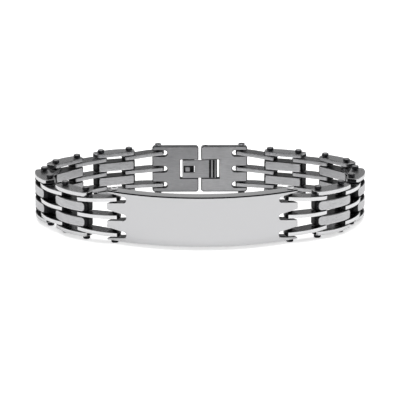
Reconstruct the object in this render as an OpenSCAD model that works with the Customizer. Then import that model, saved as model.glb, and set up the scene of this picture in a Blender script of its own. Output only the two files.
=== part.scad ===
// Steel chain bracelet with a curved name plate at the front and a lever clasp at the back.
// Millimetres, +Z up. The origin is the middle of the loop, on the surface it stands on.
// X runs along the name plate, +Y points from the name plate to the clasp.
// Each side of the chain runs from the name plate round to the clasp.

/* [Name plate] */
// How much taller the name plate and the clasp plates are than the chain
plate_extra = 1.3; // [1.1:0.05:1.4]
// Distance between the two end pins of the name plate
plate_span = 44.8; // [40:0.2:48]
// Radius of the bend at the middle of the plate's thickness
plate_bend_r = 41; // [38:0.5:50]
// Thickness of the name plate
plate_t = 3.9; // [3.4:0.1:4.4]
// How far the name plate reaches past its end pins
plate_reach = 1.1; // [1:0.05:1.3]
// Length of the slots in the ends of the name plate
plate_slot = 5.6; // [5.2:0.1:6]
// Height of the mouths of the name plate's slots, which flare towards its ends
plate_mouth = 3; // [2.6:0.1:3.1]
// Bevel along the long edges of the name plate
plate_bevel = 0.3; // [0.15:0.05:0.4]
// How much further apart the name plate's slots stand than the layers of the chain
plate_fan = 0.6; // [0.55:0.05:0.65]
// How far the first bars hang below the middles of those slots at the pins
plate_drop = 0.25; // [0.2:0.05:0.3]

/* [Chain] */
// Distance between neighbouring pins of the chain
link_pitch = 8.1; // [7.6:0.05:8.8]
// Thickness of the narrow bars
narrow_t = 1.05; // [0.95:0.01:1.06]
// Thickness of the wide bars
wide_t = 2.5; // [2.4:0.05:2.6]
// Thickness of the outer plates
outer_t = 1.1; // [1.05:0.05:1.2]
// Height of the space that a narrow bar turns in
layer_h = 1.5; // [1.49:0.01:1.55]
// How far the chain stands above the lower heads of its pins
chain_lift = 0.22; // [0.1:0.02:0.3]
// How far the bowed side of a bar reaches out from the line of its pins
bow = 3.1; // [2.9:0.05:3.4]
// How far the straight side of a bar reaches in from the line of its pins
flat_in = 1.3; // [1.1:0.05:1.4]
// How far the tips at the ends of the bowed side reach past the pins
bow_over = 2.2; // [2:0.05:2.3]
// How far the tips stand out from the line of the pins
tip_out = 1.8; // [1.6:0.05:2]
// Length that the tips are cut off by along each side
tip_l = 0.7; // [0.6:0.05:0.8]
// How far the corners of the straight side reach past the pins
flat_over = 1.3; // [1.2:0.05:1.4]
// Gap above and below a narrow bar at the inner end of its slot
slot_play = 0.31; // [0.29:0.01:0.33]

/* [Pins] */
// Diameter of the pins
pin_d = 1.1; // [1:0.05:1.2]
// Diameter of the pin heads
head_d = 1.85; // [1.6:0.05:2]
// Height of the pin heads
head_h = 0.9; // [0.6:0.05:1]
// Height of the low upper heads on the name plate and the clasp
low_head_h = 0.4; // [0.35:0.05:0.6]
// Bevel round the ends of the pins
head_bevel = 0.15; // [0.1:0.01:0.2]
// Play of the links and plates along their pins
head_gap = 0.15; // [0.1:0.05:0.3]
// Radial clearance of a pin in a plate or a wide bar
pin_play = 0.05; // [0.04:0.01:0.08]
// Radial clearance of a pin in a narrow bar
bar_play = 0.12; // [0.11:0.01:0.14]
// Gap between a lower head and the metal that stands on it
seat_gap = 0.05; // [0.03:0.01:0.08]

/* [Clasp] */
// Distance between the end pins of the two clasp plates
clasp_span = 23; // [22:0.1:26]
// Thickness of the clasp plates
clasp_t = 1.9; // [1.8:0.05:2.2]
// How far the clasp plates reach past their end pins
clasp_reach = 1.6; // [1.4:0.05:1.8]
// Length of the slots in the ends of the clasp plates
clasp_slot = 4.2; // [4.1:0.1:4.6]
// Gap between the two clasp plates
clasp_gap = 0.65; // [0.5:0.05:0.9]
// Distance from the clasp's middle to the far wall of each notch
notch_reach = 5.35; // [5.3:0.05:5.8]
// Height of the notches
notch_h = 5.3; // [5:0.05:5.8]
// Radius of the corners of the clasp plates
clasp_corner_r = 0.8; // [0.5:0.05:1]
// How much further apart the clasp plates' slots stand than the layers of the chain
clasp_fan = 0.45; // [0.4:0.05:0.5]
// How far the last bars hang below the middles of those slots at the pins
clasp_drop = 0.05; // [0:0.05:0.1]
// Thickness of the crossbar that carries the catch tooth
bar_t = 0.6; // [0.5:0.05:0.65]
// Width of the crossbar
bar_w = 3.2; // [3:0.05:3.3]
// How far the crossbar's ends run into the metal above and below the notch
bar_root = 0.5; // [0.4:0.05:0.6]
// Distance from the clasp's middle to the dimple in the right plate's top edge
dimple_x = 1.6; // [1.4:0.1:1.8]
// Diameter of the dimple
dimple_d = 0.9; // [0.7:0.05:1]
// Depth of the dimple
dimple_deep = 0.5; // [0.3:0.05:0.7]
// Metal left above the hinge pin's hole
hinge_cover = 1.8; // [1.6:0.1:2]
// Gap above the hinge pin, and its distance from the plate's lower edge
hinge_end_gap = 0.1; // [0.05:0.01:0.15]

/* [Clasp lever] */
// Thickness of the lever's strip
lever_t = 0.6; // [0.5:0.05:0.65]
// Distance from the clasp's middle to the hinge
hinge_x = 3.85; // [3.7:0.05:3.95]
// Distance from the clasp's middle to the lever's free end
lever_reach = 4.85; // [4.75:0.05:4.95]
// Radius of the rolled barrel
barrel_r = 0.95; // [0.9:0.01:1]
// How far the barrel stands proud of the strip on its inner side
barrel_proud = 0.3; // [0.2:0.05:0.35]
// Diameter of the hinge pin
hinge_pin_d = 0.8; // [0.7:0.02:0.84]
// Radial clearance of the barrel on the hinge pin
hinge_play = 0.06; // [0.05:0.01:0.08]
// Angle at which the closed lever stands off the clasp plates
lever_lean = 3.5; // [2.5:0.25:4]
// Width of the lever's end beyond its window
lever_end = 0.35; // [0.3:0.05:0.4]
// Length of the window in the lever
window_l = 3.05; // [2.9:0.05:3.2]
// Height of the window in the lever
window_h = 1.9; // [1.8:0.05:2]
// Length of the catch tooth
tooth_l = 1.5; // [1.4:0.05:1.6]
// How far the tooth stands proud of the inner side of the clasp plates
tooth_proud = 0.2; // [0.1:0.05:0.25]
// Gap between the tooth and the window's edges above and below it
tooth_play = 0.2; // [0.15:0.01:0.25]
// Gap between the tooth and the window's edge at the lever's free end
tooth_end_gap = 0.4; // [0.35:0.05:0.45]
// Gap between the lever and the notches' edges above and below it
lever_play = 0.15; // [0.12:0.01:0.2]
// How far the crossbar stays behind the lever's free end
bar_short = 0.1; // [0.05:0.01:0.2]

/* [Hidden] */
$fn = 64;

// Heights: everything stands on the lower heads of the pins
base_z = head_h + seat_gap;
layer_pitch = wide_t + layer_h;
stack_h = 2 * outer_t + 2 * wide_t + 3 * layer_h;
stack_mid_z = base_z + chain_lift + stack_h / 2;
plate_h = stack_h + plate_extra;
mid_z = base_z + plate_h / 2;
chain_pin_l = base_z + chain_lift + stack_h + head_gap + head_h;
plate_pin_l = base_z + plate_h + head_gap + low_head_h;
slot_h = narrow_t + 2 * slot_play;
plate_slot_pitch = layer_pitch + plate_fan;
clasp_slot_pitch = layer_pitch + clasp_fan;
// How far a cutting shape runs past the metal, both ends together
past = 4;

// Directions of the nine links of each side, from the name plate to the clasp,
// measured from straight sideways, as the loop was laid down
right_lay = [25, 39, 65, 78, 102, 131, 151, 160, 165];
left_lay = [25, 47, 58, 76, 109, 132, 141, 159, 169];

function total(v, i = 0) = i < len(v) ? v[i] + total(v, i + 1) : 0;
function reach(h) = link_pitch * [total([for (a = h) cos(a)]), total([for (a = h) sin(a)])];
loop_depth = (reach(right_lay)[1] + reach(left_lay)[1]) / 2;
goal = [(clasp_span - plate_span) / 2, loop_depth];

// A side is turned and curled a little, evenly along its length, until it ends at the clasp
function curled(h, c) = [for (i = [0 : len(h) - 1]) h[i] + c[0] + c[1] * (i - 4) / 4];
function miss(h, c) = reach(curled(h, c)) - goal;
function slope(h, c, step) = (miss(h, c + step) - miss(h, c - step)) / (2 * norm(step));
function closing(h, c, n) = n == 0 ? curled(h, c) :
    let (e = miss(h, c), a = slope(h, c, [0.01, 0]), b = slope(h, c, [0, 0.01]),
        det = a[0] * b[1] - a[1] * b[0])
    closing(h, c - [e[0] * b[1] - e[1] * b[0], a[0] * e[1] - a[1] * e[0]] / det, n - 1);
right_turns = closing(right_lay, [0, 0], 8);
left_turns = closing(left_lay, [0, 0], 8);

// Pin positions of a side that runs to the right; the left side is mirrored
function first(v, n) = [for (i = [0 : 1 : n - 1]) v[i]];
function at_pin(turns, n) = [plate_span / 2, -loop_depth / 2]
    + (n == 0 ? [0, 0] : reach(first(turns, n)));

// Outline of a bar from pin to pin: straight inside, bowed outside, its ends cut aslant
// and the tips of its bowed side cut off
module bar_outline()
{
    mid = link_pitch / 2;
    rise = bow - tip_out;
    arc_r = ((mid + bow_over) * (mid + bow_over) + rise * rise) / (2 * rise);
    heel = [-flat_over, flat_in];
    tip = [-bow_over, -tip_out];
    along_end = (heel - tip) / norm(heel - tip);
    along_bow = [arc_r - rise, -mid - bow_over] / arc_r;
    cut_from = tip + tip_l * along_end;
    cut_way = along_bow - along_end;
    // The cut runs on past the bowed side
    cut_to = cut_from + cut_way * (cut_from[1] + bow + 1) / -cut_way[1];
    intersection()
    {
        translate([mid, arc_r - bow])
            circle(r = arc_r);
        polygon([heel, [link_pitch - heel[0], heel[1]],
            [link_pitch - cut_from[0], cut_from[1]], [link_pitch - cut_to[0], cut_to[1]],
            cut_to, cut_from]);
    }
}

module bar(t, play)
{
    translate([0, 0, -t / 2])
        difference()
        {
            linear_extrude(height = t)
                bar_outline();
            for (x = [0, link_pitch])
                translate([x, 0, -past / 2])
                    cylinder(d = pin_d + 2 * play, h = t + past);
        }
}

// A bar laid between two pins, its first end at height za and its second at zb
module laid_bar(turns, n, za, zb, t, play)
{
    a = at_pin(turns, n);
    b = at_pin(turns, n + 1);
    translate([(a[0] + b[0]) / 2, (a[1] + b[1]) / 2, (za + zb) / 2])
        rotate([0, 0, turns[n]])
            rotate([0, -asin((zb - za) / link_pitch), 0])
                translate([-link_pitch / 2, 0, 0])
                    bar(t, play);
}

module on_side(left)
{
    if (left)
        mirror([1, 0, 0])
            children();
    else
        children();
}

// Height of a narrow bar of layer k at its two ends
function layer_z(k) = stack_mid_z + k * layer_pitch;
function near_z(n, k) = n > 1 ? layer_z(k) : mid_z + k * plate_slot_pitch - plate_drop;
function far_z(n, k) = n < 5 ? layer_z(k) : mid_z + k * clasp_slot_pitch - clasp_drop;

module narrow_link(left, n)
{
    color([0.78, 0.78, 0.79])
        on_side(left)
            for (k = [-1, 0, 1])
                laid_bar(left ? left_turns : right_turns, 2 * n - 2,
                    near_z(n, k), far_z(n, k), narrow_t, bar_play);
}

module wide_bars(left, n)
{
    color([0.62, 0.62, 0.63])
        on_side(left)
            for (k = [-1, 1])
                laid_bar(left ? left_turns : right_turns, 2 * n - 1,
                    stack_mid_z + k * layer_pitch / 2, stack_mid_z + k * layer_pitch / 2,
                    wide_t, pin_play);
}

module outer_plates(left, n)
{
    color([0.8, 0.8, 0.81])
        on_side(left)
            for (k = [-1, 1])
                laid_bar(left ? left_turns : right_turns, 2 * n - 1,
                    stack_mid_z + k * (stack_h - outer_t) / 2,
                    stack_mid_z + k * (stack_h - outer_t) / 2,
                    outer_t, pin_play);
}

// A pin with a turned head at each end, standing on the floor
module headed_pin(l, top_h)
{
    edge = head_bevel;
    r = head_d / 2;
    color([0.42, 0.42, 0.43])
        rotate_extrude()
            polygon([[0, 0], [r - edge, 0], [r, edge], [r, head_h], [pin_d / 2, head_h],
                [pin_d / 2, l - top_h], [r, l - top_h], [r, l - edge], [r - edge, l],
                [0, l]]);
}

module chain_pin(left, n)
{
    p = at_pin(left ? left_turns : right_turns, n - 1);
    at_end = n == 1 || n == 10;
    on_side(left)
        translate([p[0], p[1], 0])
            headed_pin(at_end ? plate_pin_l : chain_pin_l, at_end ? low_head_h : head_h);
}

// Room for three narrow bars, cut in from the end of a plate at x = 0. Each slot is round
// at its inner end and as high as its mouth where it leaves the plate
module end_slots(length, depth, pitch, mouth)
{
    nose = length - slot_h / 2;
    out = past / 2;
    out_h = slot_h + (mouth - slot_h) * (nose + out) / nose;
    for (k = [-1, 0, 1])
        translate([0, 0, mid_z + k * pitch])
            rotate([90, 0, 0])
            {
                linear_extrude(height = depth, center = true)
                    polygon([[-nose, -slot_h / 2], [out, -out_h / 2], [out, out_h / 2],
                        [-nose, slot_h / 2]]);
                translate([-nose, 0, 0])
                    cylinder(r = slot_h / 2, h = depth, center = true);
            }
}

// The curved plate, cut off square past its end pins
module id_plate()
{
    pin_a = asin(plate_span / 2 / plate_bend_r);
    end_a = pin_a + plate_reach / plate_bend_r * 180 / PI;
    r0 = plate_bend_r - plate_t / 2;
    r1 = plate_bend_r + plate_t / 2;
    z0 = base_z;
    z1 = base_z + plate_h;
    b = plate_bevel;
    color([0.86, 0.86, 0.87])
        translate([0, -loop_depth / 2 + plate_bend_r * cos(pin_a), 0])
            difference()
            {
                rotate([0, 0, -90 - end_a])
                    rotate_extrude(angle = 2 * end_a)
                        polygon([[r0, z0 + b], [r0 + b, z0], [r1 - b, z0], [r1, z0 + b],
                            [r1, z1 - b], [r1 - b, z1], [r0 + b, z1], [r0, z1 - b]]);
                for (s = [-1, 1])
                {
                    rotate([0, 0, s * pin_a])
                        translate([0, -plate_bend_r, 0])
                            mirror([s < 0 ? 1 : 0, 0, 0])
                                translate([plate_reach, 0, 0])
                                    end_slots(plate_slot, plate_t + past, plate_slot_pitch,
                                        plate_mouth);
                    translate([s * plate_span / 2, -plate_bend_r * cos(pin_a), 0])
                        cylinder(d = pin_d + 2 * pin_play, h = plate_h + past);
                }
            }
}

// A flat plate of the clasp, from its end pin side at +X to the middle of the clasp
module clasp_blank()
{
    x0 = clasp_gap / 2;
    x1 = clasp_span / 2 + clasp_reach;
    r = clasp_corner_r;
    difference()
    {
        rotate([90, 0, 0])
            linear_extrude(height = clasp_t, center = true)
                union()
                {
                    translate([x0, base_z + r])
                        square([x1 - x0, plate_h - 2 * r]);
                    translate([x0 + r, base_z])
                        square([x1 - x0 - 2 * r, plate_h]);
                    for (x = [x0 + r, x1 - r], z = [base_z + r, base_z + plate_h - r])
                        translate([x, z])
                            circle(r = r);
                }
        translate([x1, 0, 0])
            end_slots(clasp_slot, clasp_t + past, clasp_slot_pitch, slot_h);
        translate([clasp_span / 2, 0, 0])
            cylinder(d = pin_d + 2 * pin_play, h = plate_h + past);
        translate([-past / 2, -clasp_t, mid_z - notch_h / 2])
            cube([notch_reach + past / 2, 2 * clasp_t, notch_h]);
    }
}

clasp_y = loop_depth / 2;
// The tooth stands clear of the window's edges, nearest to the lever's end
tooth_x = lever_reach - lever_end - tooth_end_gap;
tooth_h = window_h - 2 * tooth_play;

// Left half: its notch is bridged on the outside by a crossbar that carries the tooth
module clasp_catch_plate()
{
    color([0.6, 0.6, 0.61])
        translate([0, clasp_y, 0])
            mirror([1, 0, 0])
                union()
                {
                    clasp_blank();
                    translate([lever_reach - bar_w - bar_short, clasp_t / 2 - bar_t,
                        mid_z - notch_h / 2 - bar_root])
                        cube([bar_w, bar_t, notch_h + 2 * bar_root]);
                    translate([tooth_x - tooth_l, -clasp_t / 2 - tooth_proud,
                        mid_z - tooth_h / 2])
                        cube([tooth_l, clasp_t - bar_t / 2 + tooth_proud, tooth_h]);
                }
}

// Right half: carries the hinge pin across its notch
module clasp_hinge_plate()
{
    color([0.6, 0.6, 0.61])
        translate([0, clasp_y, 0])
            difference()
            {
                clasp_blank();
                translate([hinge_x, 0, 0])
                    cylinder(d = hinge_pin_d + 2 * pin_play,
                        h = base_z + plate_h - hinge_cover);
                translate([dimple_x, 0, base_z + plate_h - dimple_deep])
                    cylinder(d = dimple_d, h = dimple_deep + past / 2);
            }
}

module clasp_hinge_pin()
{
    color([0.5, 0.5, 0.51])
        translate([hinge_x, clasp_y, base_z + hinge_end_gap])
            cylinder(d = hinge_pin_d, h = plate_h - hinge_cover - 2 * hinge_end_gap);
}

// The barrel stands proud of the strip, which leans inwards to its free end
module clasp_lever()
{
    l = hinge_x + lever_reach;
    h = notch_h - 2 * lever_play;
    strip_y = barrel_proud - barrel_r;
    color([0.68, 0.68, 0.69])
        translate([hinge_x, clasp_y, mid_z])
            rotate([0, 0, lever_lean])
                difference()
                {
                    union()
                    {
                        cylinder(r = barrel_r, h = h, center = true);
                        translate([-l, strip_y, -h / 2])
                            cube([l, lever_t, h]);
                    }
                    cylinder(r = hinge_pin_d / 2 + hinge_play, h = h + past, center = true);
                    translate([-l + lever_end, strip_y - past / 2, -window_h / 2])
                        cube([window_l, lever_t + past, window_h]);
                }
}

id_plate();
narrow_link(true, 1);  // left_narrow_link_1
narrow_link(true, 2);  // left_narrow_link_2
narrow_link(true, 3);  // left_narrow_link_3
narrow_link(true, 4);  // left_narrow_link_4
narrow_link(true, 5);  // left_narrow_link_5
narrow_link(false, 1);  // right_narrow_link_1
narrow_link(false, 2);  // right_narrow_link_2
narrow_link(false, 3);  // right_narrow_link_3
narrow_link(false, 4);  // right_narrow_link_4
narrow_link(false, 5);  // right_narrow_link_5
wide_bars(true, 1);  // left_wide_bars_1
wide_bars(true, 2);  // left_wide_bars_2
wide_bars(true, 3);  // left_wide_bars_3
wide_bars(true, 4);  // left_wide_bars_4
wide_bars(false, 1);  // right_wide_bars_1
wide_bars(false, 2);  // right_wide_bars_2
wide_bars(false, 3);  // right_wide_bars_3
wide_bars(false, 4);  // right_wide_bars_4
outer_plates(true, 1);  // left_outer_plates_1
outer_plates(true, 2);  // left_outer_plates_2
outer_plates(true, 3);  // left_outer_plates_3
outer_plates(true, 4);  // left_outer_plates_4
outer_plates(false, 1);  // right_outer_plates_1
outer_plates(false, 2);  // right_outer_plates_2
outer_plates(false, 3);  // right_outer_plates_3
outer_plates(false, 4);  // right_outer_plates_4
chain_pin(true, 1);  // left_pin_1
chain_pin(true, 2);  // left_pin_2
chain_pin(true, 3);  // left_pin_3
chain_pin(true, 4);  // left_pin_4
chain_pin(true, 5);  // left_pin_5
chain_pin(true, 6);  // left_pin_6
chain_pin(true, 7);  // left_pin_7
chain_pin(true, 8);  // left_pin_8
chain_pin(true, 9);  // left_pin_9
chain_pin(true, 10);  // left_pin_10
chain_pin(false, 1);  // right_pin_1
chain_pin(false, 2);  // right_pin_2
chain_pin(false, 3);  // right_pin_3
chain_pin(false, 4);  // right_pin_4
chain_pin(false, 5);  // right_pin_5
chain_pin(false, 6);  // right_pin_6
chain_pin(false, 7);  // right_pin_7
chain_pin(false, 8);  // right_pin_8
chain_pin(false, 9);  // right_pin_9
chain_pin(false, 10);  // right_pin_10
clasp_catch_plate();
clasp_hinge_plate();
clasp_lever();
clasp_hinge_pin();
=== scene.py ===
import math
import random

import bpy
import numpy as np
from mathutils import Matrix, Vector


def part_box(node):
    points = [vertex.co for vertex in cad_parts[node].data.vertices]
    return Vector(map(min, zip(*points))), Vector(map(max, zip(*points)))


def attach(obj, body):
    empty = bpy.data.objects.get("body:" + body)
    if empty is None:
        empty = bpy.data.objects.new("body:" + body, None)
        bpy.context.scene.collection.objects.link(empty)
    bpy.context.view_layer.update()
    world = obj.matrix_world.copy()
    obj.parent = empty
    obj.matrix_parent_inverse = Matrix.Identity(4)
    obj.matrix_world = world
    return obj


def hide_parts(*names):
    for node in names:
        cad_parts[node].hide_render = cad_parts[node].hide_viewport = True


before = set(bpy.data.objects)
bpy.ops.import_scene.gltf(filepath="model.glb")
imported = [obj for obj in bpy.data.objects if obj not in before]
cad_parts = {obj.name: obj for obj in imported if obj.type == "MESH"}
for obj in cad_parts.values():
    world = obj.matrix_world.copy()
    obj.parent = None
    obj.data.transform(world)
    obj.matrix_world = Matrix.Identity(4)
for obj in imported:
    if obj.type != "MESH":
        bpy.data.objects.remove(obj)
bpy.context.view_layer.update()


# The set: a plain white floor under soft studio light, seen from the front through a long lens
# that looks down a little. The lamps light the floor, and the steel mirrors the floor and the
# grey room round it.
aim = Vector((0, -0.02499, 0.0075))
look_turn, look_down, look_far = math.radians(-0.9), math.radians(15.5), 0.565
towards = Vector((math.sin(look_turn) * math.cos(look_down),
                  -math.cos(look_turn) * math.cos(look_down), math.sin(look_down)))
bpy.ops.object.camera_add(location=aim + towards * look_far,
                          rotation=(-towards).to_track_quat("-Z", "Y").to_euler())
camera = bpy.context.object
camera.name = "camera"
camera.data.lens = 199.5
camera.data.shift_x = -0.00625
camera.data.shift_y = 0.0375
bpy.context.scene.camera = camera
bpy.context.scene.view_settings.view_transform = "Standard"


def add_node(tree, kind, values=None, **settings):
    """A shader node with its settings, and values or links for its inputs."""
    node = tree.nodes.new(kind)
    for key, value in settings.items():
        setattr(node, key, value)
    for key, value in (values or {}).items():
        if isinstance(value, bpy.types.NodeSocket):
            tree.links.new(value, node.inputs[key])
        else:
            node.inputs[key].default_value = value
    return node


def new_material(name):
    """An empty material, its tree and its Principled shader, already joined to the output."""
    material = bpy.data.materials.new(name)
    material.use_nodes = True
    tree = material.node_tree
    return material, tree, tree.nodes["Principled BSDF"]


bpy.ops.mesh.primitive_plane_add(size=8)
floor = bpy.context.object
floor.name = "floor"
paper, tree, surface = new_material("floor_paper")
place = add_node(tree, "ShaderNodeTexCoord").outputs["Object"]
mottle = add_node(tree, "ShaderNodeTexNoise", {"Vector": place, "Scale": 9.0, "Detail": 4.0})
tone = add_node(tree, "ShaderNodeMix", {"Factor": mottle.outputs[0], "A": (0.86, 0.86, 0.86, 1),
                                        "B": (0.88, 0.88, 0.88, 1)}, data_type="RGBA")
tree.links.new(tone.outputs["Result"], surface.inputs["Base Color"])
surface.inputs["Roughness"].default_value = 0.9
surface.inputs["Emission Color"].default_value = (1, 1, 1, 1)
seen = add_node(tree, "ShaderNodeLightPath").outputs["Is Camera Ray"]
lift = add_node(tree, "ShaderNodeMath", {0: seen, 1: 0.6}, operation="MULTIPLY")
tree.links.new(lift.outputs[0], surface.inputs["Emission Strength"])
floor.data.materials.append(paper)

# Lamps: a wide one above, one in front and one at the right, all kept out of the steel's mirror
for lamp_name, spot, size, power in (("lamp_above", (0, 0.1, 1.3), 1.4, 11.5),
                                     ("lamp_front", (-0.3, -1.2, 1.0), 1.0, 5),
                                     ("lamp_right", (1.1, 0.2, 0.8), 0.8, 3.2)):
    bpy.ops.object.light_add(type="AREA", location=spot,
                             rotation=Vector(spot).to_track_quat("Z", "Y").to_euler())
    lamp = bpy.context.object
    lamp.name = lamp_name
    lamp.data.size = size
    lamp.data.energy = power
    lamp.visible_glossy = False

# The room: a grey that changes with the height above the horizon
room = bpy.context.scene.world or bpy.data.worlds.new("room")
bpy.context.scene.world = room
room.use_nodes = True
tree = room.node_tree
ray = add_node(tree, "ShaderNodeTexCoord").outputs["Generated"]
up = add_node(tree, "ShaderNodeSeparateXYZ", {0: ray}).outputs["Z"]
grey = add_node(tree, "ShaderNodeValToRGB", {0: up})
steps = [(0.0, 0.75), (0.12, 0.5), (0.28, 0.4), (0.45, 0.2), (0.60, 0.16), (0.80, 0.5), (1.0, 0.7)]
while len(grey.color_ramp.elements) < len(steps):
    grey.color_ramp.elements.new(0.5)
for mark, (where, level) in zip(grey.color_ramp.elements, steps):
    mark.position = where
    mark.color = (level, level, level, 1)
tree.links.new(grey.outputs["Color"], tree.nodes["Background"].inputs["Color"])
tree.nodes["Background"].inputs["Strength"].default_value = 1.0


# Name plate: one thick strip of stainless steel, bent to the wrist and polished, with rounded
# edges. Its front lip is painted dark as shade, its top is painted lighter as light, and its end
# faces and slot walls are painted black as shade. Three slots are milled into each end, so that
# its tongues take the first bars. It is drawn flat in millimetres, slotted, then bent and set
# down.
plate_len, plate_thick, plate_tall = 49.595, 3.9, 13.0
plate_bend_r, plate_mid_y, plate_mid_z = 41.0, -30.138, 7.45
slot_tall, slot_mouth, slot_step, slot_deep = 1.67, 3.0, 4.6, 5.6
plate_edge, slot_rim, slot_clear, bend_step = 0.3, 0.1, 1.65, 0.8
# The holes that hold a pin fast, the drill that goes down through a plate, and the length of the
# other tools that cut right through a piece
snug_bore, drill_long, drill_mid_z, through = 0.6, 20, 7, 9
# Places in a piece's list of finishes: its main one, its rims and its cut walls, which are painted
# black or dark as shade
main_finish, rim_finish, cut_shade_finish = 0, 1, 2


def only(thing):
    """Makes this the one selected and active object."""
    bpy.ops.object.select_all(action="DESELECT")
    thing.select_set(True)
    bpy.context.view_layer.objects.active = thing
    return thing


def new_block(size, centre):
    """A block of this size, its place in its mesh."""
    bpy.ops.object.select_all(action="DESELECT")
    bpy.ops.mesh.primitive_cube_add(size=1)
    block = bpy.context.object
    block.scale = size
    block.location = centre
    bpy.ops.object.transform_apply(location=True, rotation=True, scale=True)
    return block


def new_rod(radius, length, centre, turn=(0, 0, 0), sides=32):
    """A round rod along Z, turned and moved, its place in its mesh."""
    bpy.ops.object.select_all(action="DESELECT")
    bpy.ops.mesh.primitive_cylinder_add(vertices=sides, radius=radius, depth=length,
                                        location=centre, rotation=turn)
    bpy.ops.object.transform_apply(location=True, rotation=True, scale=True)
    return bpy.context.object


def apply_last(thing):
    """Applies the modifier that was added last."""
    only(thing)
    bpy.ops.object.modifier_apply(modifier=thing.modifiers[-1].name)


def combine(piece, tool, operation="DIFFERENCE", finish=None):
    """Cuts a tool out of a piece or welds it on; the new faces may take another finish."""
    if finish is not None:
        tool.data.materials.clear()
        for material in piece.data.materials:
            tool.data.materials.append(material)
        tool.data.polygons.foreach_set("material_index", [finish] * len(tool.data.polygons))
    cut = piece.modifiers.new("cut", "BOOLEAN")
    cut.operation = operation
    cut.solver = "EXACT"
    cut.material_mode = "INDEX"
    cut.object = tool
    apply_last(piece)
    bpy.data.objects.remove(tool)
    return piece


def bevel_sharp(piece, width, steps, finish, angle=50):
    """Rounds every edge sharper than the angle, with the finish at this place in the list."""
    bpy.ops.object.select_all(action="DESELECT")
    rounding = piece.modifiers.new("rounding", "BEVEL")
    rounding.width = width
    rounding.segments = steps
    rounding.limit_method = "ANGLE"
    rounding.angle_limit = math.radians(angle)
    rounding.material = finish
    rounding.use_clamp_overlap = True
    apply_last(piece)


def keep_place(piece, shift=(0, 0, 0), name="laid"):
    """Stores where each point lies on the flat or unlaid piece, which its finish follows."""
    mesh = piece.data
    where = np.zeros(len(mesh.vertices) * 3, np.float32)
    mesh.vertices.foreach_get("co", where)
    where = (where.reshape(-1, 3) + np.array(shift, np.float32)).ravel()
    kept = mesh.attributes.get(name) or mesh.attributes.new(name, "FLOAT_VECTOR", "POINT")
    kept.data.foreach_set("vector", where)


def smooth(piece, angle=38):
    """Smooth shading with flat faces kept flat."""
    only(piece)
    bpy.ops.object.shade_smooth_by_angle(angle=math.radians(angle))
    weigh = piece.modifiers.new("weigh", "WEIGHTED_NORMAL")
    weigh.keep_sharp = True
    apply_last(piece)


def to_metres(piece, matrix=Matrix.Identity(4)):
    """Brings a piece drawn in millimetres to its place in metres."""
    only(piece)
    piece.matrix_world = Matrix.Scale(0.001, 4) @ matrix
    bpy.ops.object.transform_apply(location=True, rotation=True, scale=True)
    return piece


def hand_in(piece, name, body, slot, *nodes):
    """Names a finished piece and says what it rides on and stands for."""
    piece.name = name
    piece.data.name = name
    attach(piece, body)
    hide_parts(*nodes)


def group_tree(name, inputs, outputs):
    """An empty node group with named inputs and outputs."""
    tree = bpy.data.node_groups.new(name, "ShaderNodeTree")
    for label, kind, value in inputs:
        socket = tree.interface.new_socket(label, in_out="INPUT", socket_type=kind)
        if value is not None:
            socket.default_value = value
    for label, kind in outputs:
        tree.interface.new_socket(label, in_out="OUTPUT", socket_type=kind)
    return tree, tree.nodes.new("NodeGroupInput").outputs, tree.nodes.new("NodeGroupOutput")


# Grain: the fine lines that a belt or brush leaves, long one way and close the other
grain_group, given, out = group_tree(
    "belt_grain",
    [("Vector", "NodeSocketVector", None), ("Stretch", "NodeSocketVector", (1, 1, 1))],
    [("Lines", "NodeSocketFloat"), ("Bands", "NodeSocketFloat")])
stretched = add_node(grain_group, "ShaderNodeVectorMath",
                     {0: given["Vector"], 1: given["Stretch"]}, operation="MULTIPLY").outputs[0]
lines = add_node(grain_group, "ShaderNodeTexNoise",
                 {"Vector": stretched, "Scale": 6.0, "Detail": 3.0, "Roughness": 0.6})
bands = add_node(grain_group, "ShaderNodeTexNoise",
                 {"Vector": stretched, "Scale": 1.1, "Detail": 2.0})
grain_group.links.new(lines.outputs[0], out.inputs["Lines"])
grain_group.links.new(bands.outputs[0], out.inputs["Bands"])

# Wear: soft smudges from handling and small bright knocks
wear_group, given, out = group_tree(
    "handling_wear",
    [("Vector", "NodeSocketVector", None), ("Scale", "NodeSocketFloat", 0.3)],
    [("Smudge", "NodeSocketFloat"), ("Knocks", "NodeSocketFloat"), ("Scratch", "NodeSocketFloat")])
smudge = add_node(wear_group, "ShaderNodeTexNoise",
                  {"Vector": given["Vector"], "Scale": given["Scale"], "Detail": 4.0,
                   "Distortion": 0.4})
finer = add_node(wear_group, "ShaderNodeMath", {0: given["Scale"], 1: 9.0},
                 operation="MULTIPLY").outputs[0]
dots = add_node(wear_group, "ShaderNodeTexVoronoi", {"Vector": given["Vector"], "Scale": finer})
knocks = add_node(wear_group, "ShaderNodeMapRange",
                  {"Value": dots.outputs["Distance"], "From Min": 0.16, "From Max": 0.05})
slant = add_node(wear_group, "ShaderNodeMapping",
                 {"Vector": given["Vector"], "Rotation": (0.3, 0.5, 0.6), "Scale": (0.35, 5, 5)})
thin = add_node(wear_group, "ShaderNodeTexNoise",
                {"Vector": slant.outputs[0], "Scale": 1.6, "Detail": 2.0})
scratch = add_node(wear_group, "ShaderNodeMapRange",
                   {"Value": thin.outputs[0], "From Min": 0.66, "From Max": 0.72})
wear_group.links.new(smudge.outputs[0], out.inputs["Smudge"])
wear_group.links.new(knocks.outputs[0], out.inputs["Knocks"])
wear_group.links.new(scratch.outputs[0], out.inputs["Scratch"])


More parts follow.
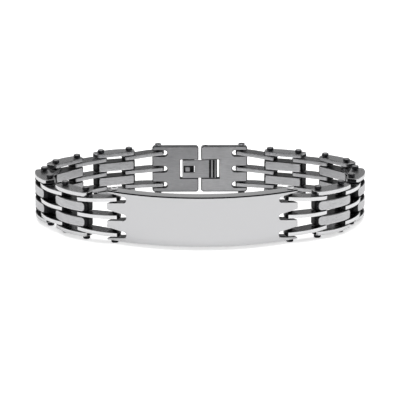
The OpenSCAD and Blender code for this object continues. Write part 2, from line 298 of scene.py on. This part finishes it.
def steel(name, light, dark, rough, stretch, relief, wear_scale=0.3, unshaded_patch=None, metal=1.0):
    """A stainless finish: light and dark are its two tones, rough its least and most roughness,
    stretch the grain's closeness along each axis, and relief the depth of grain and knocks. The
    unshaded patch is the half length, half height and corner radius of the part of a bar's side
    that keeps its steel tones; past it the colour is painted black as shade. A low metal takes the
    sheen off painted shade, and lets the lamps light a painted highlight."""
    material, tree, surface = new_material(name)
    laid = add_node(tree, "ShaderNodeAttribute", attribute_name="laid").outputs["Vector"]
    grain = add_node(tree, "ShaderNodeGroup", node_tree=grain_group)
    tree.links.new(laid, grain.inputs["Vector"])
    grain.inputs["Stretch"].default_value = stretch
    wear = add_node(tree, "ShaderNodeGroup", node_tree=wear_group)
    tree.links.new(laid, wear.inputs["Vector"])
    wear.inputs["Scale"].default_value = wear_scale
    smudged = add_node(tree, "ShaderNodeMath", {0: wear.outputs["Smudge"], 1: 0.45},
                       operation="MULTIPLY").outputs[0]
    mixed = add_node(tree, "ShaderNodeMath", {0: grain.outputs["Bands"], 1: 0.55, 2: smudged},
                     operation="MULTIPLY_ADD").outputs[0]
    spread = add_node(tree, "ShaderNodeMapRange",
                      {"Value": mixed, "From Min": 0.32, "From Max": 0.68}).outputs[0]
    tone = add_node(tree, "ShaderNodeMix", {"Factor": spread, "A": (*dark, 1), "B": (*light, 1)},
                    data_type="RGBA")
    marked = add_node(tree, "ShaderNodeMath", {0: wear.outputs["Scratch"], 1: 0.35},
                      operation="MULTIPLY").outputs[0]
    worn = add_node(tree, "ShaderNodeMix", {"Factor": marked, "A": tone.outputs["Result"],
                                            "B": (0.72, 0.72, 0.73, 1)}, data_type="RGBA")
    colour = worn.outputs["Result"]
    # Painted shade: past the patch the colour is mixed to near black
    if unshaded_patch:
        # How far each point lies past the unshaded patch, lengthwise and in height: the 99 leaves
        # out y
        half, tall, corner = unshaded_patch
        own = add_node(tree, "ShaderNodeAttribute", attribute_name="own").outputs["Vector"]
        size = add_node(tree, "ShaderNodeVectorMath", {0: own}, operation="ABSOLUTE").outputs[0]
        past = add_node(tree, "ShaderNodeVectorMath",
                        {0: size, 1: (half - corner, 99, tall - corner)},
                        operation="SUBTRACT").outputs[0]
        past = add_node(tree, "ShaderNodeVectorMath", {0: past, 1: (0, 0, 0)},
                        operation="MAXIMUM").outputs[0]
        reach = add_node(tree, "ShaderNodeVectorMath", {0: past}, operation="LENGTH")
        edge = add_node(tree, "ShaderNodeMapRange", {
            "Value": reach.outputs["Value"], "From Min": corner - 0.12, "From Max": corner + 0.06})
        colour = add_node(tree, "ShaderNodeMix", {"Factor": edge.outputs[0], "A": colour,
                                                  "B": (0.01, 0.01, 0.011, 1)},
                          data_type="RGBA").outputs["Result"]
    tree.links.new(colour, surface.inputs["Base Color"])
    uneven = add_node(tree, "ShaderNodeMath", {0: grain.outputs["Lines"], 1: spread},
                      operation="MULTIPLY").outputs[0]
    dull = add_node(tree, "ShaderNodeMapRange", {"Value": uneven, "From Min": 0.05,
                                                 "From Max": 0.6, "To Min": rough[0],
                                                 "To Max": rough[1]}).outputs[0]
    tree.links.new(dull, surface.inputs["Roughness"])
    high = add_node(tree, "ShaderNodeMath", {0: grain.outputs["Lines"], 1: wear.outputs["Knocks"]},
                    operation="SUBTRACT").outputs[0]
    bump = add_node(tree, "ShaderNodeBump", {"Height": high, "Strength": relief[0],
                                             "Distance": relief[1]})
    tree.links.new(bump.outputs[0], surface.inputs["Normal"])
    surface.inputs["Metallic"].default_value = metal
    surface.inputs["Specular IOR Level"].default_value = min(metal, 0.5)
    return material


plate_polish = steel("plate_polish", (0.70, 0.70, 0.71), (0.655, 0.655, 0.665), (0.07, 0.16),
                     (0.25, 3, 3), (0.02, 0.00001), 0.12)
plate_rim = steel("plate_rim", (0.94, 0.94, 0.95), (0.86, 0.86, 0.87), (0.16, 0.28),
                  (0.3, 3, 3), (0.05, 0.00002), 0.3)
# Painted shade: cut walls, end faces and holes are painted near black, with little metal to give
# them sheen
cut_wall_shade = steel("cut_wall_shade", (0.014, 0.014, 0.015), (0.005, 0.005, 0.006), (0.25, 0.45),
                    (3, 0.4, 3), (0.25, 0.00003), 0.6, metal=0.08)
# Painted shade: the front lip of the name plate is painted dark
plate_lip_shade = steel("plate_lip_shade", (0.05, 0.05, 0.055), (0.02, 0.02, 0.025), (0.16, 0.28),
                  (0.3, 3, 3), (0.05, 0.00002), 0.3)
# Painted light: the top face of the name plate is painted lighter than its front
plate_top_light = steel("plate_top_light", (0.78, 0.78, 0.79), (0.66, 0.66, 0.67), (0.10, 0.20),
                  (0.3, 3, 3), (0.05, 0.00002), 0.3)


def add_finishes(piece, finishes):
    """Adds the finishes to the piece's list, in this order."""
    for finish in finishes:
        piece.data.materials.append(finish)


def give_finish(piece, chooser):
    """Chooses each face's finish by its place and normal."""
    for face in piece.data.polygons:
        face.material_index = chooser(face)


def plate_finish(face):
    """Painted shade: black end faces and a dark front lip; painted light: a lighter top. The rest
    stays as it is.
    """
    lip_shade_finish, lit_top_finish = 3, 4
    if abs(face.normal.x) > 0.35:
        return cut_shade_finish
    if face.normal.y < -0.1 and face.normal.z > 0.1:
        return lip_shade_finish
    return lit_top_finish if face.normal.z > 0.95 else face.material_index


def pick_faces(piece, wanted):
    """Selects the faces that pass the test, in edit mode."""
    only(piece)
    bpy.ops.object.mode_set(mode="EDIT")
    bpy.ops.mesh.select_mode(type="FACE")
    bpy.ops.mesh.select_all(action="DESELECT")
    bpy.ops.object.mode_set(mode="OBJECT")
    for face in piece.data.polygons:
        face.select = wanted(face)
    bpy.ops.object.mode_set(mode="EDIT")


def slot_tool(end, way, depth, z, mouth=slot_tall):
    """A milling tool's path: in from the end of a plate, where it is as tall as the mouth, to a
    round inner end. The way is 1 for a slot in the right end and -1 for one in the left."""
    straight = depth - slot_tall / 2
    tool = new_block((straight + 2, through, slot_tall), (end + way * (1 - straight / 2), 0, z))
    flare = 1 + (mouth / slot_tall - 1) * (straight + 2) / straight
    pick_faces(tool, lambda face: face.normal.x * way > 0.9)
    bpy.ops.transform.resize(value=(1, 1, flare))
    bpy.ops.object.mode_set(mode="OBJECT")
    nose = new_rod(slot_tall / 2, through, (end - way * straight, 0, z), (math.radians(90), 0, 0))
    return combine(tool, nose, "UNION")


name_plate = new_block((plate_len, plate_thick, plate_tall), (0, 0, plate_mid_z))
add_finishes(name_plate, (plate_polish, plate_rim, cut_wall_shade, plate_lip_shade, plate_top_light))
bevel_sharp(name_plate, plate_edge, 3, rim_finish)
give_finish(name_plate, plate_finish)
for way in (-1, 1):
    for layer in (-1, 0, 1):
        combine(name_plate, slot_tool(way * plate_len / 2, way, slot_deep,
                                      plate_mid_z + layer * slot_step, slot_mouth),
                finish=cut_shade_finish)
bevel_sharp(name_plate, slot_rim, 2, rim_finish, 60)
# Cuts across the plate let it bend. Those along it run just clear of the slots' mouths.
bpy.ops.object.mode_set(mode="EDIT")
cuts = [((bend_step * step + bend_step / 2, 0, 0), (1, 0, 0)) for step in range(-31, 31)]
cuts += [((0, 0, plate_mid_z + layer * slot_step + rise), (0, 0, 1))
         for layer in (-1, 0, 1) for rise in (-slot_clear, slot_clear)]
for point, facing in cuts:
    bpy.ops.mesh.select_all(action="SELECT")
    bpy.ops.mesh.bisect(plane_co=point, plane_no=facing, threshold=1e-6)
bpy.ops.object.mode_set(mode="OBJECT")
keep_place(name_plate)
bend = name_plate.modifiers.new("bend", "SIMPLE_DEFORM")
bend.deform_method = "BEND"
bend.deform_axis = "Z"
bend.angle = plate_len / plate_bend_r
apply_last(name_plate)
only(name_plate)
name_plate.location = (0, plate_mid_y, 0)
bpy.ops.object.transform_apply(location=True)


def pin_axis(side, n):
    """Where a pin of the chain stands, in millimetres."""
    low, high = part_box(f"{side}_pin_{n}")
    return Vector(((low.x + high.x) / 2, (low.y + high.y) / 2, 0)) * 1000


for side in ("left", "right"):
    combine(name_plate, new_rod(snug_bore, drill_long, pin_axis(side, 1)
                                + Vector((0, 0, drill_mid_z))), finish=cut_shade_finish)
smooth(name_plate)
hand_in(to_metres(name_plate), "name_plate", "bracelet", "name_plate_steel", "id_plate")


# Narrow links: each is three thin bars stamped from sheet, one above the other, bowed outside and
# straight inside, with their ends cut aslant. The bowed edges are polished and the inner ones
# grey.
# The flats are painted dark as shade, and the ends and the flats near them black as shade. The
# first and last links tilt a little into the slots.
pitch, bow, straight_in = 8.1, 3.1, 1.3
tip_over, tip_out, tip_cut, heel_over = 2.2, 1.8, 0.7, 1.3
chain_mid_z, layer_step, clasp_slot_step = 7.02, 4.0, 4.45
plate_drop, clasp_drop = 0.25, 0.05
narrow_thick, narrow_bore = 1.05, 0.67
tip_round, heel_round, end_zone = 0.44, 0.5, 0.8
bow_radius = ((pitch / 2 + tip_over) ** 2 + (bow - tip_out) ** 2) / (2 * (bow - tip_out))
tip, heel = Vector((pitch / 2 + tip_over, -tip_out)), Vector((pitch / 2 + heel_over, straight_in))
along_end = (heel - tip).normalized()
along_bow = Vector((bow - tip_out - bow_radius, -tip.x)) / bow_radius
cut_near, cut_far = tip + tip_cut * along_end, tip + tip_cut * along_bow
narrow_links = 5
random.seed(7)


def stamped_blank(thick):
    """A disc of the bow's radius, cut straight on the inside, aslant at both ends, and across
    the tips."""
    blank = new_rod(bow_radius, thick, (0, bow_radius - bow, 0), sides=200)
    bpy.ops.object.mode_set(mode="EDIT")
    cuts = [((0, straight_in, 0), (0, 1, 0))]
    for way in (-1, 1):
        for near, far in ((heel, tip), (cut_near, cut_far)):
            facing = Vector((way * (near.y - far.y), far.x - near.x, 0)).normalized()
            cuts.append(((way * near.x, near.y, 0), facing))
    for point, facing in cuts:
        bpy.ops.mesh.select_all(action="SELECT")
        bpy.ops.mesh.bisect(plane_co=point, plane_no=facing, use_fill=True, clear_outer=True,
                            threshold=1e-6)
    bpy.ops.object.mode_set(mode="OBJECT")
    return blank


def pick_edges(piece, wanted):
    """Selects the edges whose two ends pass the test, and nothing else."""
    only(piece)
    bpy.ops.object.mode_set(mode="EDIT")
    bpy.ops.mesh.select_mode(type="EDGE")
    bpy.ops.mesh.select_all(action="DESELECT")
    bpy.ops.object.mode_set(mode="OBJECT")
    points = piece.data.vertices
    for edge in piece.data.edges:
        edge.select = wanted(points[edge.vertices[0]].co, points[edge.vertices[1]].co)
    bpy.ops.object.mode_set(mode="EDIT")


def round_picked(width, steps):
    """Rounds the selected edges and leaves edit mode."""
    bpy.ops.mesh.bevel(offset=width, segments=steps, affect="EDGES")
    bpy.ops.object.mode_set(mode="OBJECT")


def round_corners(piece):
    """Rounds the upright edges of a bar's ends."""
    for corner, width in ((cut_near, tip_round), (cut_far, tip_round), (heel, heel_round)):
        pick_edges(piece, lambda a, b, c=corner: (a - b).xy.length < 1e-4
                   and (Vector((abs(a.x), a.y)) - c).length < 0.02)
        round_picked(width, 4)


def bore(piece, radius):
    """Drills the two pin holes of a bar."""
    for way in (-1, 1):
        combine(piece, new_rod(radius, through, (way * pitch / 2, 0, 0), sides=24),
                finish=cut_shade_finish)


def thin_bar(thick, radius, rim, finishes, end_turn, shade_from=9):
    """A stamped bar with its corners rounded and its edges broken. It is painted black as shade on
    end faces turned further towards the ends than end_turn, and on its flats past shade_from, if
    that is on it."""
    end_shade_finish, inside_finish = 3, 4
    piece = stamped_blank(thick)
    add_finishes(piece, finishes)
    round_corners(piece)
    bevel_sharp(piece, rim, 2, rim_finish, 60)
    bpy.ops.object.mode_set(mode="EDIT")
    for way in (-1, 1):
        bpy.ops.mesh.select_all(action="SELECT")
        bpy.ops.mesh.bisect(plane_co=(way * shade_from, 0, 0), plane_no=(1, 0, 0), threshold=1e-6)
    bpy.ops.object.mode_set(mode="OBJECT")

    def chooser(face):
        if abs(face.normal.z) > 0.95:
            return end_shade_finish if abs(face.center.x) > shade_from else main_finish
        if abs(face.normal.x) > end_turn and abs(face.center.x) > heel.x - end_zone:
            return end_shade_finish
        return inside_finish if face.normal.y > 0.3 else rim_finish

    give_finish(piece, chooser)
    bore(piece, radius)
    keep_place(piece)
    smooth(piece)
    return piece


def own_copy(pattern):
    """A copy with its own mesh, its finish shifted so that no two copies are alike."""
    copy = pattern.copy()
    copy.data = pattern.data.copy()
    bpy.context.scene.collection.objects.link(copy)
    keep_place(copy, [random.uniform(-90, 90) for _ in range(3)])
    return copy


def lay_bar(pattern, side, n, z_near, z_far):
    """A copy of a bar, laid from pin n to the next, seen from above anticlockwise."""
    a, b = pin_axis(side, n), pin_axis(side, n + 1)
    a.z, b.z = z_near, z_far
    if side == "left":
        a, b = b, a
    run = b - a
    return to_metres(own_copy(pattern), Matrix.Translation((a + b) / 2)
                     @ Matrix.Rotation(math.atan2(run.y, run.x), 4, "Z")
                     @ Matrix.Rotation(-math.asin(run.z / run.length), 4, "Y"))


def join(parts):
    """Makes one piece of several."""
    bpy.ops.object.select_all(action="DESELECT")
    for part in parts:
        part.select_set(True)
    bpy.context.view_layer.objects.active = parts[0]
    bpy.ops.object.join()
    return parts[0]


def near_z(n, layer):
    """The height of a narrow bar where link n begins, which is in a plate's slot on the first."""
    if n == 1:
        return plate_mid_z + layer * slot_step - plate_drop
    return chain_mid_z + layer * layer_step


def far_z(n, layer):
    """The same where link n ends, which is in a clasp plate's slot on the last."""
    if n == narrow_links:
        return plate_mid_z + layer * clasp_slot_step - clasp_drop
    return chain_mid_z + layer * layer_step


# Painted shade: the flats of the narrow bars are painted dark
narrow_flat_shade = steel("narrow_flat_shade", (0.20, 0.20, 0.21), (0.12, 0.12, 0.125), (0.20, 0.36),
                    (0.5, 4, 2), (0.15, 0.00002))
narrow_edge = steel("narrow_edge", (0.90, 0.90, 0.91), (0.80, 0.80, 0.81), (0.14, 0.26),
                    (0.4, 3, 3), (0.08, 0.00002))
# Painted shade: the walls of the pin holes are painted dark
bore_wall_shade = steel("bore_wall_shade", (0.10, 0.10, 0.11), (0.05, 0.05, 0.06), (0.4, 0.6),
                  (2, 2, 2), (0.2, 0.00002))
# Painted shade: bar ends, and the narrow flats near them, are painted near black
bar_end_shade = steel("bar_end_shade", (0.02, 0.02, 0.022), (0.006, 0.006, 0.007), (0.3, 0.5),
                (2, 2, 0.5), (0.2, 0.00002), metal=0.15)
narrow_inside = steel("narrow_inside", (0.58, 0.58, 0.59), (0.38, 0.38, 0.39), (0.2, 0.34),
                      (0.4, 3, 3), (0.15, 0.00002))
narrow_bar = thin_bar(narrow_thick, narrow_bore, 0.14,
                      (narrow_flat_shade, narrow_edge, bore_wall_shade, bar_end_shade, narrow_inside),
                      end_turn=0.75, shade_from=2.9)
for side in ("left", "right"):
    for n in range(1, narrow_links + 1):
        link = join([lay_bar(narrow_bar, side, 2 * n - 1, near_z(n, layer), far_z(n, layer))
                     for layer in (-1, 0, 1)])
        hand_in(link, f"narrow_bars_{side}_{n}", "bracelet", "narrow_link_steel",
                f"{side}_narrow_link_{n}")
bpy.data.objects.remove(narrow_bar)


# Wide bars: two thick bars of the same outline between the narrow ones, with soft rims. Each side
# keeps its steel tones only in a patch with round corners; past it, and on the ends, the flats and
# the inner side's top rims, the colour is painted black as shade.
wide_thick, wide_edge, wide_end_zone, wide_links = 2.5, 0.28, 1, narrow_links - 1


def wide_bar_pattern(finishes):
    """A thick bar with rounded corners and soft rims, its flats, ends and inner top rims painted
    black as shade.
    """
    flat_shade_finish, end_shade_finish, inside_finish = 3, 4, 5
    piece = stamped_blank(wide_thick)
    add_finishes(piece, finishes)
    round_corners(piece)
    bevel_sharp(piece, wide_edge, 3, rim_finish, 60)

    def chooser(face):
        # Painted shade: flats and the top rims of the inner side take the black flat finish
        if abs(face.normal.z) > 0.95 or (face.normal.y > 0 and face.normal.z > 0.3):
            return flat_shade_finish
        if abs(face.normal.y) < 0.5:
            return end_shade_finish if abs(face.center.x) > heel.x - wide_end_zone else rim_finish
        if face.material_index == rim_finish:
            return rim_finish
        return inside_finish if face.normal.y > 0 else main_finish

    give_finish(piece, chooser)
    bore(piece, snug_bore)
    keep_place(piece)
    keep_place(piece, name="own")
    smooth(piece)
    return piece


wide_satin = steel("wide_satin", (0.66, 0.66, 0.67), (0.50, 0.50, 0.51), (0.26, 0.42),
                   (0.4, 3, 3), (0.25, 0.00003), unshaded_patch=(5.6, 1.25, 1.0))
wide_inside = steel("wide_inside", (0.60, 0.60, 0.61), (0.42, 0.42, 0.43), (0.26, 0.42),
                    (0.4, 3, 3), (0.3, 0.00003), unshaded_patch=(5.0, 1.25, 0.9))
wide_rim = steel("wide_rim", (0.82, 0.82, 0.83), (0.68, 0.68, 0.69), (0.16, 0.30),
                 (0.4, 3, 3), (0.08, 0.00002), unshaded_patch=(5.4, 1.35, 1.0))
# Painted shade: the flats and inner top rims of the wide bars are painted near black
wide_flat_shade = steel("wide_flat_shade", (0.024, 0.024, 0.025), (0.008, 0.008, 0.009), (0.26, 0.45),
                  (0.5, 4, 2), (0.15, 0.00002), metal=0.15)
wide_bar = wide_bar_pattern((wide_satin, wide_rim, bore_wall_shade, wide_flat_shade, bar_end_shade, wide_inside))
for side in ("left", "right"):
    for n in range(1, wide_links + 1):
        heights = [chain_mid_z + layer * layer_step / 2 for layer in (-1, 1)]
        link = join([lay_bar(wide_bar, side, 2 * n, z, z) for z in heights])
        hand_in(link, f"thick_bars_{side}_{n}", "bracelet", "wide_bar_steel",
                f"{side}_wide_bars_{n}")
bpy.data.objects.remove(wide_bar)


# Outer plates: the top and bottom plates of each wide link, stamped to the same outline from
# thinner sheet. Their flat sides show, brushed lengthwise, their edges are polished, and their
# ends are painted black as shade.
outer_thick, chain_tall = 1.1, 11.7
outer_flat = steel("outer_flat", (0.50, 0.50, 0.51), (0.34, 0.34, 0.35), (0.22, 0.38),
                   (0.4, 4, 2), (0.2, 0.00003))
outer_edge = steel("outer_edge", (0.84, 0.84, 0.85), (0.72, 0.72, 0.73), (0.15, 0.28),
                   (0.4, 3, 3), (0.08, 0.00002))
outer_inside = steel("outer_inside", (0.50, 0.50, 0.51), (0.34, 0.34, 0.35), (0.2, 0.34),
                     (0.4, 3, 3), (0.15, 0.00002))
outer_bar = thin_bar(outer_thick, snug_bore, 0.18,
                     (outer_flat, outer_edge, bore_wall_shade, bar_end_shade, outer_inside), end_turn=0.93)
for side in ("left", "right"):
    for n in range(1, wide_links + 1):
        heights = [chain_mid_z + layer * (chain_tall - outer_thick) / 2 for layer in (-1, 1)]
        link = join([lay_bar(outer_bar, side, 2 * n, z, z) for z in heights])
        hand_in(link, f"cover_plates_{side}_{n}", "bracelet", "outer_plate_steel",
                f"{side}_outer_plates_{n}")
bpy.data.objects.remove(outer_bar)


# Pins: turned from wire, with a head at each end whose upright sides are painted near black as
# shade and whose faces turned up or down are painted lighter as light. Those of the chain have a
# flat top inside a soft rim. The ones at the name plate and the clasp have a low upper head with a
# sunken middle painted black as shade, whose ring is a painted highlight, bright on the name plate
# and grey on the clasp.
shank_r, head_r, head_tall, low_head_tall = 0.55, 0.925, 0.9, 0.4
chain_pin_long, plate_pin_long, last_pin = 13.92, 14.5, 2 * narrow_links
soft_edge, low_edge, soft_inset, ring_inset, sunk, ring_wide = 0.32, 0.12, 0.25, 0.06, 0.14, 0.2
shaded_side_finish, lit_top_finish, ring_highlight_finish = 0, 1, 2
# Painted shade: the sides of the pin heads are painted near black
pin_side_shade = steel("pin_side_shade", (0.05, 0.05, 0.055), (0.015, 0.015, 0.017), (0.28, 0.45),
                 (1, 1, 4), (0.2, 0.00002))
# Painted light: the tops of the pin heads are painted lighter
pin_top_light = steel("pin_top_light", (0.60, 0.60, 0.61), (0.34, 0.34, 0.35), (0.18, 0.34),
                (2, 2, 2), (0.15, 0.00002))
# Painted highlight: the ring of a sunken head is painted bright, and its low metal lets the lamps
# light it
pin_rim_highlight = steel("pin_rim_highlight", (0.95, 0.95, 0.96), (0.85, 0.85, 0.86), (0.26, 0.38),
                (2, 2, 2), (0.1, 0.00002), metal=0.35)


def turned_pin(length, top_tall, sunken):
    """A head drawn down to the shank and out again to the lower head. The ring of a sunken top is
    a painted highlight and its middle is painted black as shade."""
    piece = new_rod(head_r, top_tall, (0, 0, length - top_tall / 2), sides=28)
    add_finishes(piece, (pin_side_shade, pin_top_light, pin_rim_highlight))
    pick_faces(piece, lambda face: face.normal.z < -0.9)
    bpy.ops.mesh.inset(thickness=head_r - shank_r)
    bpy.ops.mesh.extrude_region_move(
        TRANSFORM_OT_translate={"value": (0, 0, head_tall + top_tall - length)})
    bpy.ops.mesh.extrude_region_move()
    bpy.ops.transform.resize(value=(head_r / shank_r, head_r / shank_r, 1))
    bpy.ops.mesh.extrude_region_move(TRANSFORM_OT_translate={"value": (0, 0, -head_tall)})
    bpy.ops.object.mode_set(mode="OBJECT")
    pick_edges(piece, lambda a, b: abs(a.z - b.z) < 1e-4 and a.xy.length > head_r - 0.01
               and (a.z > length - 0.01 or a.z < 0.01))
    round_picked(low_edge if sunken else soft_edge, 4)
    for up in (1, -1):
        pick_faces(piece, lambda face: face.normal.z * up > 0.99 and len(face.vertices) > 10
                   and abs(face.center.z - (length if up > 0 else 0)) < 0.02)
        bpy.ops.mesh.inset(thickness=ring_inset if sunken else soft_inset)
        bpy.ops.mesh.inset(thickness=ring_inset, depth=-sunk if sunken and up > 0 else 0)
        bpy.ops.object.mode_set(mode="OBJECT")

    def chooser(face):
        if sunken and face.center.z > length - 0.3:
            in_middle = face.center.xy.length < head_r - ring_wide and face.normal.z > 0.9
            return shaded_side_finish if in_middle else ring_highlight_finish
        return lit_top_finish if abs(face.normal.z) > 0.2 else shaded_side_finish

    give_finish(piece, chooser)
    keep_place(piece)
    smooth(piece, 50)
    return piece


for length, top_tall, numbers in ((plate_pin_long, low_head_tall, (1, last_pin)),
                                  (chain_pin_long, head_tall, range(2, last_pin))):
    pin_pattern = turned_pin(length, top_tall, top_tall < head_tall)
    for side in ("left", "right"):
        for n in numbers:
            pin = own_copy(pin_pattern)
            if n == last_pin:
                pin.data.materials[ring_highlight_finish] = pin_top_light
            to_metres(pin, Matrix.Translation(pin_axis(side, n)))
            hand_in(pin, f"pin_{side}_{n}", "bracelet", "pin_steel", f"{side}_pin_{n}")
    bpy.data.objects.remove(pin_pattern)


# Clasp plates: two flat satin plates with soft rims painted dark as shade, slotted like the name
# plate. Facing notches make a window for the lever, and the edges of the notches and slots are
# painted black as shade. The left one has a crossbar on its outer side with the catch tooth on it,
# the crossbar painted black as shade. The right one is a little paler and has a small round dimple
# in its top edge, painted black as shade.
clasp_y, clasp_thick, clasp_half = 23.479, 1.9, 12.775
clasp_inner_x, clasp_end_x = 0.325, 13.1
clasp_slot_deep, notch_far, notch_tall = 4.2, 5.35, 5.3
corner_round, clasp_edge, notch_edge, recess_shade_finish = 0.8, 0.3, 0.16, 3
crossbar_size, crossbar_at = (3.2, 0.6, notch_tall + 1), (-3.15, 0.65, plate_mid_z)
tooth_size, tooth_at = (1.5, 1.7, 1.5), (-3.35, -0.3, plate_mid_z)
dimple_r, dimple_deep, dimple_at = 0.45, 0.5, (1.6, 0, 13.95)
wire_hole_r, wire_hole_long, wire_hole_at = 0.45, 12.2, (3.85, 0, 6.05)
clasp_satin = steel("clasp_satin", (0.44, 0.44, 0.45), (0.33, 0.33, 0.34), (0.32, 0.48),
                    (0.4, 3, 4), (0.3, 0.00003))
clasp_pale = steel("clasp_pale", (0.56, 0.56, 0.57), (0.42, 0.42, 0.43), (0.32, 0.48),
                   (0.4, 3, 4), (0.3, 0.00003))
# Painted shade: the rims of the clasp plates are painted dark
clasp_rim_shade = steel("clasp_rim_shade", (0.24, 0.24, 0.245), (0.14, 0.14, 0.145), (0.2, 0.34),
                  (0.4, 3, 3), (0.1, 0.00002))
# Painted shade: the crossbar, the dimple and the edges of the notches and slots are painted near
# black
clasp_recess_shade = steel("clasp_recess_shade", (0.03, 0.03, 0.032), (0.01, 0.01, 0.011), (0.3, 0.5),
                     (2, 2, 2), (0.2, 0.00002), metal=0.15)


def clasp_plate(way):
    """One half of the clasp: -1 for the left one and 1 for the right one."""
    piece = new_block((clasp_half, clasp_thick, plate_tall),
                      (way * (clasp_inner_x + clasp_end_x) / 2, 0, plate_mid_z))
    add_finishes(piece, (clasp_satin, clasp_rim_shade, cut_wall_shade, clasp_recess_shade))
    pick_edges(piece, lambda a, b: abs(a.y - b.y) > 1)
    round_picked(corner_round, 6)
    bevel_sharp(piece, clasp_edge, 3, rim_finish)
    for layer in (-1, 0, 1):
        combine(piece, slot_tool(way * clasp_end_x, way, clasp_slot_deep,
                                 plate_mid_z + layer * clasp_slot_step), finish=cut_shade_finish)
    combine(piece, new_block((notch_far + 1, through, notch_tall),
                             (way * (notch_far - 1) / 2, 0, plate_mid_z)), finish=cut_shade_finish)
    return piece


catch_plate = clasp_plate(-1)
combine(catch_plate, new_block(crossbar_size, crossbar_at), "UNION", recess_shade_finish)
combine(catch_plate, new_block(tooth_size, tooth_at), "UNION", main_finish)
hinge_plate = clasp_plate(1)
hinge_plate.data.materials[main_finish] = clasp_pale
combine(hinge_plate, new_rod(dimple_r, 2 * dimple_deep, dimple_at), finish=recess_shade_finish)
for piece, side, name, node in ((catch_plate, "left", "catch_plate", "clasp_catch_plate"),
                                (hinge_plate, "right", "hinge_plate", "clasp_hinge_plate")):
    bevel_sharp(piece, notch_edge, 2, recess_shade_finish, 60)
    pin_hole = new_rod(snug_bore, drill_long, (pin_axis(side, last_pin).x, 0, drill_mid_z))
    combine(piece, pin_hole, finish=cut_shade_finish)
    if side == "right":
        combine(piece, new_rod(wire_hole_r, wire_hole_long, wire_hole_at), finish=cut_shade_finish)
    keep_place(piece)
    smooth(piece)
    hand_in(to_metres(piece, Matrix.Translation((0, clasp_y, 0))), name, "bracelet",
            "clasp_steel", node)


# Hinge pin: a short plain steel wire, pressed in from below through a blind hole in the right
# clasp plate. The lever turns on it. It keeps the frame's own shape and only gets its finish.
hinge_wire, tree, surface = new_material("hinge_wire")
place = add_node(tree, "ShaderNodeTexCoord").outputs["Object"]
in_mm = add_node(tree, "ShaderNodeMapping", {"Vector": place, "Scale": (1000, 1000, 1000)})
rings = add_node(tree, "ShaderNodeGroup", {"Vector": in_mm.outputs[0]}, node_tree=grain_group)
rings.inputs["Stretch"].default_value = (1, 1, 4)
tone = add_node(tree, "ShaderNodeMix", {"Factor": rings.outputs["Bands"],
                                        "A": (0.30, 0.30, 0.31, 1), "B": (0.42, 0.42, 0.43, 1)},
                data_type="RGBA")
tree.links.new(tone.outputs["Result"], surface.inputs["Base Color"])
dull = add_node(tree, "ShaderNodeMapRange",
                {"Value": rings.outputs["Lines"], "To Min": 0.2, "To Max": 0.4})
tree.links.new(dull.outputs[0], surface.inputs["Roughness"])
surface.inputs["Metallic"].default_value = 1.0
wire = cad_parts["clasp_hinge_pin"]
wire.data.materials.clear()
wire.data.materials.append(hinge_wire)


# Clasp lever: a satin strip rolled round the hinge pin at one end, with a window that snaps over
# the tooth and three grooves along its barrel for the thumb. The walls of the window and grooves
# are painted black as shade and its rims are painted dark as shade. Closed, it leans a little out
# of the window towards the inside of the bracelet.
lever_thick, barrel_r, barrel_proud, lever_long, lever_tall = 0.6, 0.95, 0.3, 8.7, 5.0
window_size, window_at, lever_bore, lever_edge = (3.05, 4, 1.9), (-6.825, 0, 0), 0.46, 0.12
groove_r, grooves = 0.27, ((-1.06, -0.65), (-0.07, -0.95), (0.76, -0.57))
lever_lean = math.radians(3.5)
lever_satin = steel("lever_satin", (0.46, 0.46, 0.47), (0.33, 0.33, 0.34), (0.28, 0.42),
                    (0.4, 3, 4), (0.25, 0.00003))
# Painted shade: the lever's rims are painted dark
lever_rim_shade = steel("lever_rim_shade", (0.10, 0.10, 0.105), (0.05, 0.05, 0.055), (0.18, 0.32),
                  (0.4, 3, 3), (0.1, 0.00002))
lever = new_rod(barrel_r, lever_tall, (0, 0, 0), sides=48)
add_finishes(lever, (lever_satin, lever_rim_shade, cut_wall_shade))
combine(lever, new_block((lever_long, lever_thick, lever_tall),
                         (-lever_long / 2, lever_thick / 2 + barrel_proud - barrel_r, 0)),
        "UNION", main_finish)
combine(lever, new_block(window_size, window_at), finish=cut_shade_finish)
for groove in grooves:
    combine(lever, new_rod(groove_r, through, (*groove, 0), sides=16), finish=cut_shade_finish)
bevel_sharp(lever, lever_edge, 2, rim_finish, 60)
combine(lever, new_rod(lever_bore, through, (0, 0, 0)), finish=cut_shade_finish)
keep_place(lever)
smooth(lever)
hinge_low, hinge_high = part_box("clasp_hinge_pin")
hinge = (hinge_low + hinge_high) / 2 * 1000
hand_in(to_metres(lever, Matrix.Translation((hinge.x, hinge.y, plate_mid_z))
                  @ Matrix.Rotation(lever_lean, 4, "Z")),
        "snap_lever", "lever", "lever_steel", "clasp_lever")
